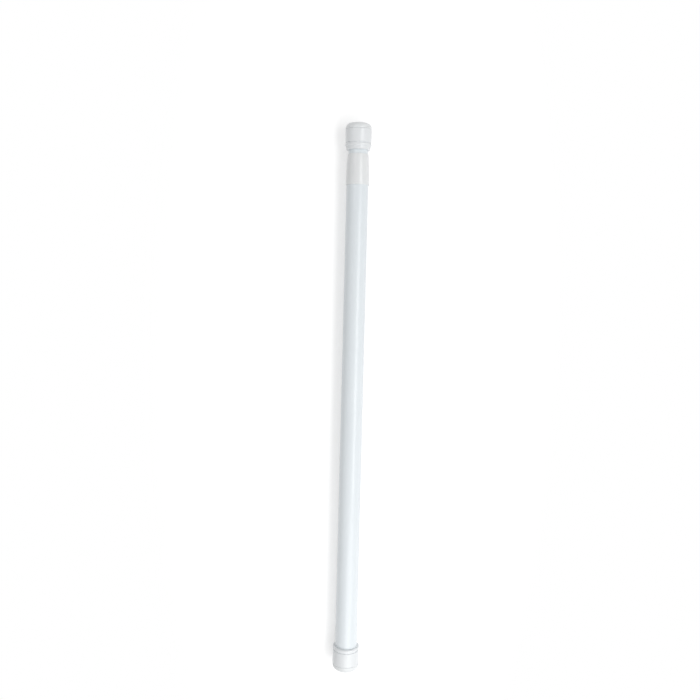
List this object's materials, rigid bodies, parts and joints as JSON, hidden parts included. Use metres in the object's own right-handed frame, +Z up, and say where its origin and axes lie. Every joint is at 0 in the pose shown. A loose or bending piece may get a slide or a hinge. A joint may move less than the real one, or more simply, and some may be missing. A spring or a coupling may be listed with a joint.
{
  "type": "spring tension rod",
  "caption": "Telescopic rod for a bath or window curtain: twisted, its thin tube locks in the wide one, and a spring inside presses the soft feet against two walls.",
  "frame": {"origin": "centre of the wide tube's foot, on its wall face", "axes": "+X along the rod's axis towards the thin tube's foot, +Z up, the rod level as it is mounted"},
  "size_m": [0.7, 0.034, 0.034],
  "materials": {
    "white_tube": "cool white satin lacquer",
    "cap_plastic": "cool white moulded plastic, semi-gloss",
    "ferrule_plastic": "white moulded plastic, a shade warmer than the caps, semi-gloss",
    "soft_foot": "white soft plastic",
    "grey_nylon": "matt grey moulding",
    "natural_nylon": "matt off-white moulding",
    "zinc_steel": "bright zinc plating",
    "spindle_steel": "drawn steel",
    "spring_steel": "oiled spring steel",
    "black_rubber": "matt rubber"
  },
  "bodies": {
    "outer": {"outer_tube": "white_tube", "mouth_ferrule": "ferrule_plastic", "outer_cap": "cap_plastic", "outer_cap_plug": "grey_nylon", "outer_cap_screw": "zinc_steel", "outer_foot_pad": "soft_foot"},
    "expander": {"expander_sleeve": "grey_nylon", "drag_band": "black_rubber", "thrust_washer": "zinc_steel"},
    "cone": {"expander_cone": "natural_nylon", "cone_nut": "zinc_steel"},
    "spindle": {"spindle": "spindle_steel", "stop_nut": "zinc_steel", "spring_plate": "natural_nylon", "plate_clip": "spring_steel"},
    "inner": {"inner_tube": "white_tube", "guide_plug": "grey_nylon", "retaining_pins": "zinc_steel", "press_spring": "spring_steel", "spring_seat": "natural_nylon", "inner_reducer": "cap_plastic", "inner_cap": "cap_plastic", "inner_cap_plug": "grey_nylon", "inner_cap_screw": "zinc_steel", "inner_foot_pad": "soft_foot"}
  },
  "joints": [
    {"name": "rod_extend", "type": "slide", "parent": "outer", "child": "expander", "axis": [1, 0, 0], "range_m": [0, 0.5]},
    {"name": "twist_lock", "type": "hinge", "parent": "expander", "child": "spindle", "pos_m": [0.0838, 0, 0], "axis": [-1, 0, 0], "range_deg": [0, 720]},
    {"name": "cone_draw", "type": "slide", "parent": "expander", "child": "cone", "axis": [1, 0, 0], "range_m": [0, 0.00201]},
    {"name": "spring_press", "type": "slide", "parent": "spindle", "child": "inner", "axis": [-1, 0, 0], "range_m": [0, 0.0047], "stiffness_N_per_m": 12000, "springref_m": -0.005, "deforming": ["press_spring"]}
  ],
  "couplings": [
    {"joint": "cone_draw", "follows": "twist_lock", "m_per_rad": 0.00015915}
  ]
}
